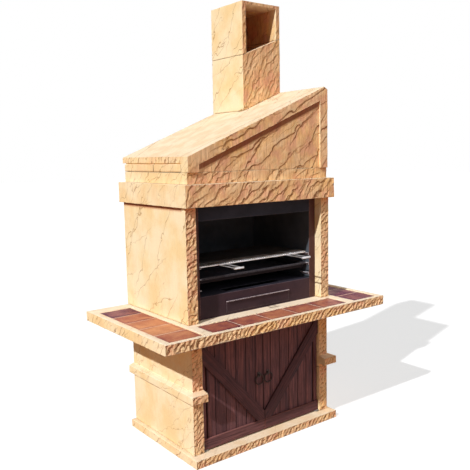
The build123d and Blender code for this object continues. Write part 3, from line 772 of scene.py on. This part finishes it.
# Steel liner. Folded black plates line the firebox: sides, back, hearth floor, flanges
# against the walls, a smoke shield under the lintel and a lower panel for the drawer.
# Heat-proof paint: clouded by heat, dusted with ash and rubbed through on its folds; on the
# drawer's grip the fold colour is a painted highlight.
worn_and_highlit_paint, given, result = effect(
    "worn_and_highlit_paint",
    [("Paint", "NodeSocketColor", None), ("Tint", "NodeSocketColor", None),
     ("Rubbed And Highlight", "NodeSocketColor", None), ("Fold", "NodeSocketFloat", 0.0),
     ("Cloud", "NodeSocketFloat", 0.5), ("Grit", "NodeSocketFloat", 0.5)],
    [("Body", "NodeSocketColor")])
body = blend(worn_and_highlit_paint, spread_over(worn_and_highlit_paint, given["Cloud"], 0.35, 0.68), given["Paint"], given["Tint"])
dust = spread_over(worn_and_highlit_paint, given["Grit"], 0.6, 0.78, 0.0, 0.08)
body = blend(worn_and_highlit_paint, dust, body, srgb(120, 112, 108))
fold = times(worn_and_highlit_paint, given["Fold"], spread_over(worn_and_highlit_paint, given["Grit"], 0.36, 0.56))
body = blend(worn_and_highlit_paint, times(worn_and_highlit_paint, fold, 0.8), body, given["Rubbed And Highlight"])
worn_and_highlit_paint.links.new(body, result["Body"])


def heat_paint(name, colour, tint, shine, rubbed_and_highlight, gloss=0.15):
    """One of the steel paints, by its colours, roughness and gloss."""
    material, tree, surface = new_material(name)
    _, cloud, grit = mottled(tree, 4.5, 180.0)
    inputs = {"Paint": colour, "Tint": tint, "Rubbed And Highlight": rubbed_and_highlight, "Fold": painted_on(tree, "fold"),
              "Cloud": cloud, "Grit": grit}
    coat = add_node(tree, "ShaderNodeGroup", inputs, node_tree=worn_and_highlit_paint)
    raise_grain(tree, surface, grit, 0.0003, 0.4)
    tree.links.new(coat.outputs["Body"], surface.inputs["Base Color"])
    tree.links.new(spread_over(tree, cloud, 0.3, 0.7, shine, shine + 0.2), surface.inputs["Roughness"])
    surface.inputs["Specular IOR Level"].default_value = gloss
    return material


black_paint = heat_paint("black_heat_paint", srgb(82, 88, 96), srgb(64, 70, 78), 0.5, srgb(112, 114, 122))
shield_paint = heat_paint("shield_paint", srgb(44, 42, 52), srgb(34, 33, 40), 0.5, srgb(86, 84, 92))
panel_paint = heat_paint("panel_paint", srgb(68, 48, 54), srgb(54, 40, 46), 0.42, srgb(104, 84, 92))
# the drawer's pale fold colour is a painted highlight
drawer_paint_and_highlight = heat_paint("drawer_paint_and_highlight", srgb(68, 48, 54), srgb(54, 40, 46), 0.42, srgb(214, 200, 204))
flange_paint = heat_paint("flange_paint", srgb(96, 64, 58), srgb(78, 52, 48), 0.45, srgb(126, 86, 76))
bright_fold = heat_paint("bright_fold", srgb(150, 146, 152), srgb(112, 108, 116), 0.32,
                         srgb(222, 218, 224), 0.5)


def eased(node, width, hem=0.0):
    """The node's mesh with its edges eased; the mask "fold" is 1 on them and 0 a hem away."""
    plate_grid = 0.12
    shape = welded(node)
    if hem:
        cut_grid(shape, plate_grid, hem)
    shape.normal_update()
    edges = [edge for edge in shape.edges if edge.calc_face_angle(0) > sharp_turn]
    made = bmesh.ops.bevel(shape, geom=edges, offset=width, offset_type="OFFSET", segments=2, profile=0.5,
                           affect="EDGES", clamp_overlap=True)
    mesh = bpy.data.meshes.new(node + "_eased")
    shape.verts.index_update()
    on_fold = {point.index for point in made["verts"] if point.is_valid}
    shape.to_mesh(mesh)
    shape.free()
    paint_mask(mesh, "fold", [index in on_fold for index in range(len(mesh.vertices))])
    shade_round(mesh)
    mesh.set_sharp_from_angle(angle=sharp_turn)
    return mesh


def folded_plate(node, material, body="base", fold=0.0008, hem=0.004):
    """A plate of the frame with its edges eased by the press and rubbed there."""
    mesh = eased(node, fold, hem)
    mesh.materials.append(material)
    plate = add_object(node + "_plate", mesh)
    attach(plate, body)
    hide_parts(node)
    return plate


liner_paints = {"liner_back": black_paint, "liner_side_left": black_paint,
                "liner_side_right": black_paint, "ash_drawer_runners": black_paint,
                "liner_floor": shield_paint, "liner_shield": shield_paint, "liner_lower_panel": panel_paint,
                "liner_flange_left": flange_paint, "liner_flange_right": flange_paint,
                "grill_brackets_left": bright_fold, "grill_brackets_right": bright_fold}
for plate, paint in liner_paints.items():
    folded_plate(plate, paint)


# Ember tray. A folded steel pan that lies loose on the middle brackets, painted black and
# dulled by the fire.
tray_paint = heat_paint("tray_paint", srgb(50, 48, 54), srgb(38, 36, 40), 0.55, srgb(80, 78, 84), 0.1)
folded_plate("ember_tray", tray_paint, "ember_tray")


# Ash drawer. An open box behind the lower panel; the upper edge of its face is folded out
# as a grip, with a painted highlight along it.
folded_plate("ash_drawer", black_paint, "ash_drawer")
grip = folded_plate("ash_drawer_front", drawer_paint_and_highlight, "ash_drawer", hem=0.006).data
# the painted highlight runs along the upper edge of the grip; the other folds get little of it
grip_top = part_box("ash_drawer_front")[1][2]
grip_height = read_points(grip)[0][:, 2]
grip_highlight = np.empty(len(grip_height))
grip_fold = grip.attributes["fold"].data
grip_fold.foreach_get("value", grip_highlight)
grip_highlight_band = (0.008, 0.002)
grip_highlight *= 0.1 + 0.9 * smooth_step(grip_height, grip_top - grip_highlight_band[0], grip_top - grip_highlight_band[1])
grip_fold.foreach_set("value", grip_highlight.astype(np.float32))


# Cooking grill. Chromed wires welded side by side over a bent rod frame, with two handles
# that end in thick bars. The chrome is clouded by heat.
def chromed():
    """Bright chrome with a faint brown heat tint, burnt black where it lies over the embers."""
    material, tree, surface = new_material("chromed_wire")
    place, cloud, grit = mottled(tree, 14.0, 500.0)
    body = blend(tree, spread_over(tree, cloud, 0.4, 0.7), srgb(232, 232, 236), srgb(196, 186, 174))
    depth = add_node(tree, "ShaderNodeSeparateXYZ", {"Vector": place}).outputs["Y"]
    fire_edge = work_out(tree, "ADD", depth, times(tree, cloud, 0.08))
    darkened = spread_over(tree, fire_edge, -0.12, -0.04)
    body = blend(tree, times(tree, darkened, 0.93), body, srgb(44, 36, 32))
    raise_grain(tree, surface, grit, 0.0002, 0.2)
    tree.links.new(body, surface.inputs["Base Color"])
    tree.links.new(spread_over(tree, darkened, 0.0, 1.0, 0.3, 0.62), surface.inputs["Roughness"])
    tree.links.new(spread_over(tree, darkened, 0.0, 1.0, 0.6, 0.5), surface.inputs["Metallic"])
    return material


chrome = chromed()


def drawn_wire(name, runs, radius, body, material, replaced):
    """Round wires along runs of points, as one piece."""
    curve = bpy.data.curves.new(name, "CURVE")
    curve.dimensions = "3D"
    curve.bevel_depth = radius
    curve.bevel_resolution = 3
    curve.use_fill_caps = True
    for run in runs:
        line = curve.splines.new("POLY")
        line.points.add(len(run) - 1)
        for point, place in zip(line.points, run):
            point.co = (*place, 1)
    bent = add_object(name, curve)
    bpy.context.view_layer.update()
    mesh = bpy.data.meshes.new_from_object(bent.evaluated_get(bpy.context.evaluated_depsgraph_get()))
    bpy.data.objects.remove(bent)
    shade_round(mesh)
    mesh.materials.clear()
    mesh.materials.append(material)
    wires = add_object(name, mesh)
    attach(wires, body)
    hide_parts(replaced)


wire_low, wire_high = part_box("grill_wires")
wire_radius = (wire_high[2] - wire_low[2]) / 2
wire_pitch = 0.016
wire_count = round((wire_high[0] - wire_low[0] - 2 * wire_radius) / wire_pitch) + 1
wire_z = wire_high[2] - wire_radius
wire_hook = 0.0055
hook_turns = [math.radians(22.5 * step) for step in range(5)]
hook = [(math.sin(turn) * wire_hook, (math.cos(turn) - 1) * wire_hook) for turn in hook_turns]
wire_runs = []
for index in range(wire_count):
    x = wire_low[0] + wire_radius + index * wire_pitch
    front = [(x, wire_low[1] + wire_hook + wire_radius - out, wire_z + down) for out, down in reversed(hook)]
    back = [(x, wire_high[1] - wire_hook - wire_radius + out, wire_z + down) for out, down in hook]
    wire_runs.append(front + back)
drawn_wire("grill_wires_chrome", wire_runs, wire_radius, "grill", chrome, "grill_wires")
for part in ("grill_frame", "grill_handle_left", "grill_handle_right"):
    folded_plate(part, chrome, "grill", 0.0004, 0.0)


# Doors. Each leaf is six upright boards and a stile, nailed to a bottom rail, a top rail
# and a diagonal brace, all stained dark red brown. Hidden pins carry it.
# Stained softwood: growth rings and fibres drawn out along the board, each board shifted.
stained_grain, given, result = effect(
    "stained_grain",
    [("Place", "NodeSocketVector", None), ("Board", "NodeSocketFloat", 0.5),
     ("Cloud", "NodeSocketFloat", 0.5)],
    [("Body", "NodeSocketColor"), ("Rings", "NodeSocketFloat"), ("Height", "NodeSocketFloat")])
step = add_node(stained_grain, "ShaderNodeCombineXYZ", {
    "X": times(stained_grain, given["Board"], 7.3),
    "Z": times(stained_grain, given["Board"], 3.1)})
shifted = add_node(stained_grain, "ShaderNodeVectorMath", {0: given["Place"], 1: step.outputs[0]},
                   operation="ADD").outputs[0]
drawn = add_node(stained_grain, "ShaderNodeMapping", {"Vector": shifted, "Scale": (1, 1, 0.05)}).outputs[0]
rings = random_mask(stained_grain, drawn, 58, 5, 0.65, 1.2)
fibre = random_mask(stained_grain, drawn, 190, 3)
ramp = add_node(stained_grain, "ShaderNodeValToRGB", {"Fac": rings})
ramp.color_ramp.elements[0].position = 0.34
ramp.color_ramp.elements[0].color = srgb(80, 56, 62)
ramp.color_ramp.elements[1].position = 0.68
ramp.color_ramp.elements[1].color = srgb(166, 116, 116)
own = times(stained_grain, given["Board"], 0.6)
body = blend(stained_grain, own, ramp.outputs["Color"], srgb(150, 140, 144), "MULTIPLY")
body = blend(stained_grain, spread_over(stained_grain, fibre, 0.5, 0.66, 0.0, 0.5), body, srgb(66, 46, 50))
clouded = spread_over(stained_grain, given["Cloud"], 0.42, 0.68, 0.0, 0.4)
body = blend(stained_grain, clouded, body, srgb(88, 62, 66))
height = work_out(stained_grain, "ADD", rings, times(stained_grain, fibre, 0.5))
stained_grain.links.new(body, result["Body"])
stained_grain.links.new(rings, result["Rings"])
stained_grain.links.new(height, result["Height"])


def stained_boards(name, along, edge_share, edge_colour):
    """Stained wood whose grain runs along one direction, its edges darkened as painted shade, or lightened
    partly by wear and partly as painted highlight.
    """
    material, tree, surface = new_material(name)
    place, cloud, grit = mottled(tree, 5.0, 260.0)
    turn = along.rotation_difference(Vector((0, 0, 1))).to_euler()
    turned = add_node(tree, "ShaderNodeMapping", {"Vector": place, "Rotation": turn})
    inputs = {"Place": turned.outputs[0], "Board": painted_on(tree, "board"), "Cloud": cloud}
    wood = add_node(tree, "ShaderNodeGroup", inputs, node_tree=stained_grain).outputs
    edge = times(tree, painted_on(tree, "fold"), edge_share)
    height = work_out(tree, "ADD", wood["Height"], times(tree, grit, 0.1))
    raise_grain(tree, surface, height, 0.0014, 0.7)
    tree.links.new(blend(tree, edge, wood["Body"], edge_colour), surface.inputs["Base Color"])
    tree.links.new(spread_over(tree, wood["Rings"], 0.3, 0.7, 0.55, 0.72), surface.inputs["Roughness"])
    surface.inputs["Specular IOR Level"].default_value = 0.12
    return material


# board and brace edges darkened as painted shade; stile and rail edges lightened, partly as wear and partly
# as painted highlight
painted_edge_shade = srgb(34, 20, 22)
worn_and_highlit_edge = srgb(170, 110, 96)
board_wood = stained_boards("board_wood", Vector((0, 0, 1)), 0.5, painted_edge_shade)
stile_wood = stained_boards("stile_wood", Vector((0, 0, 1)), 0.3, worn_and_highlit_edge)
rail_wood = stained_boards("rail_wood", Vector((1, 0, 0)), 0.3, worn_and_highlit_edge)
brace_lean = math.radians(48.7)
brace_wood = {}
for side, towards in (("left", -1), ("right", 1)):
    along = Vector((towards * math.cos(brace_lean), 0, math.sin(brace_lean)))
    brace_wood[side] = stained_boards(f"brace_wood_{side}", along, 0.25, painted_edge_shade)


def sawn_piece(node, wood, body, ease, darker=0.0):
    """Boards of the frame with eased edges, each with its own shade."""
    mesh = eased(node, ease, 2.2 * ease)
    part = islands(mesh)
    shades = np.array([0.5 + 0.5 * noise.noise(Vector((number * 3.7, len(node) * 1.3, 0.4)))
                       for number in range(part.max() + 1)])
    paint_mask(mesh, "board", shades[part] + darker)
    mesh.materials.append(wood)
    boards = add_object(node + "_wood", mesh)
    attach(boards, body)
    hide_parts(node)


for side in ("left", "right"):
    sawn_piece(f"door_{side}_planks", board_wood, f"door_{side}", 0.0026)
    sawn_piece(f"door_{side}_stile", stile_wood, f"door_{side}", 0.0018)
    sawn_piece(f"door_{side}_rails", rail_wood, f"door_{side}", 0.0018, 0.45)
    sawn_piece(f"door_{side}_brace", brace_wood[side], f"door_{side}", 0.0018, 0.7)


# Door ironwork. Forged black ring pulls hang in small eye plates; the pivots are plain
# steel plates and pins, let into the slab and the worktop.
forged_iron = heat_paint("forged_iron", srgb(56, 44, 46), srgb(72, 56, 52), 0.5, srgb(96, 88, 86))
pivot_steel = heat_paint("pivot_steel", srgb(128, 126, 124), srgb(98, 92, 88), 0.4, srgb(170, 168, 166))
for side in ("left", "right"):
    folded_plate(f"door_{side}_ring_plate", forged_iron, f"door_{side}", 0.0005, 0.0)
    folded_plate(f"door_{side}_pivots", pivot_steel, f"door_{side}", 0.0003, 0.0)
    ring_low, ring_high = (Vector(corner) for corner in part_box(f"door_{side}_ring"))
    ring_centre = (ring_low + ring_high) / 2
    ring_wire = (ring_high.y - ring_low.y) / 2
    ring_radius = (ring_high.x - ring_low.x) / 2 - ring_wire
    turns = [math.radians(7.5 * step) for step in range(49)]
    ring_run = [(ring_centre.x + ring_radius * math.sin(turn), ring_centre.y,
                 ring_centre.z + ring_radius * math.cos(turn)) for turn in turns]
    drawn_wire(f"door_{side}_ring_iron", [ring_run], ring_wire, f"ring_{side}", forged_iron,
               f"door_{side}_ring")


# Floor. A plain pale studio floor, not part of the barbecue. It throws warm sandy light back
# on the barbecue, and shows white to the camera with the barbecue's shadow.
floor_half = 40.0
floor_mesh = bpy.data.meshes.new("studio_floor")
floor_corners = [(-floor_half, -floor_half, 0), (floor_half, -floor_half, 0),
                 (floor_half, floor_half, 0), (-floor_half, floor_half, 0)]
floor_mesh.from_pydata(floor_corners, [], [(0, 1, 2, 3)])
floor = add_object("studio_floor", floor_mesh)
floor_paint, floor_tree, floor_surface = new_material("studio_floor")
floor_surface.inputs["Roughness"].default_value = 0.9
floor_surface.inputs["Specular IOR Level"].default_value = 0.0
floor_surface.inputs["Emission Color"].default_value = (1, 1, 1, 1)
floor_path = add_node(floor_tree, "ShaderNodeLightPath").outputs
floor_seen = work_out(floor_tree, "MAXIMUM", floor_path["Is Camera Ray"], floor_path["Is Glossy Ray"])
floor_tone = blend(floor_tree, floor_seen, srgb(176, 132, 104), srgb(182, 182, 182))
floor_tree.links.new(floor_tone, floor_surface.inputs["Base Color"])
floor_glow = times(floor_tree, floor_seen, 0.63)
floor_tree.links.new(floor_glow, floor_surface.inputs["Emission Strength"])
floor_mesh.materials.append(floor_paint)


# Light. One key lamp stands high on the left and a little to the front, weak soft ones at
# the right front and right back, in a white room; what the camera sees of it is plain white.
def far_lamp(name, towards, spread, power, mirrored=True):
    """A far lamp that shines along one direction; the weak ones aren't mirrored in glossy faces."""
    lamp = bpy.data.lights.new(name, "SUN")
    lamp.angle = math.radians(spread)
    lamp.energy = power
    stand = add_object(name, lamp)
    stand.rotation_euler = Vector(towards).to_track_quat("-Z", "Y").to_euler()
    stand.visible_glossy = mirrored


far_lamp("key", towards=(3.37, 1, -2.86), spread=1.0, power=3.5)
far_lamp("fill", towards=(-0.5, 1.0, -0.8), spread=40, power=0.5, mirrored=False)
far_lamp("back", towards=(-1.0, -0.8, -0.2), spread=40, power=1.4, mirrored=False)
world = bpy.data.worlds.new("white_room")
bpy.context.scene.world = world
world.use_nodes = True
room = world.node_tree
path = add_node(room, "ShaderNodeLightPath").outputs
seen = work_out(room, "MAXIMUM", path["Is Camera Ray"], path["Is Glossy Ray"])
seen = work_out(room, "MAXIMUM", seen, path["Is Transmission Ray"])
strength = add_node(room, "ShaderNodeMapRange", {"Value": seen, "To Min": 0.12, "To Max": 1.0})
room.links.new(strength.outputs["Result"], room.nodes["Background"].inputs["Strength"])
room.nodes["Background"].inputs["Color"].default_value = (1, 1, 1, 1)
bpy.context.scene.view_settings.view_transform = "Standard"


# Camera. It stands left of the front at the height of the hood and looks slightly down,
# where the photograph's perspective puts it.
def aim_camera(place, azimuth, down, roll, lens, shift_y):
    """Camera that looks from the given side; angles in degrees, azimuth 0 looks along +Y."""
    a, e, r = (math.radians(angle) for angle in (azimuth, down, roll))
    back = Vector((math.sin(a) * math.cos(e), -math.cos(a) * math.cos(e), math.sin(e)))
    right = Vector((math.cos(a), math.sin(a), 0))
    up = back.cross(right)
    rolled_right = right * math.cos(r) + up * math.sin(r)
    rolled_up = up * math.cos(r) - right * math.sin(r)
    data = bpy.data.cameras.new("camera")
    data.lens = lens
    data.sensor_width = 36
    data.shift_y = shift_y
    camera = add_object("camera", data)
    turned = Matrix((rolled_right, rolled_up, back)).transposed().to_4x4()
    camera.matrix_world = Matrix.Translation(place) @ turned
    bpy.context.scene.camera = camera


aim_camera(Vector((-2.2411, -2.9056, 1.6430)), azimuth=-37.409, down=7.057, roll=-1.094, lens=47.917,
           shift_y=-0.0053)
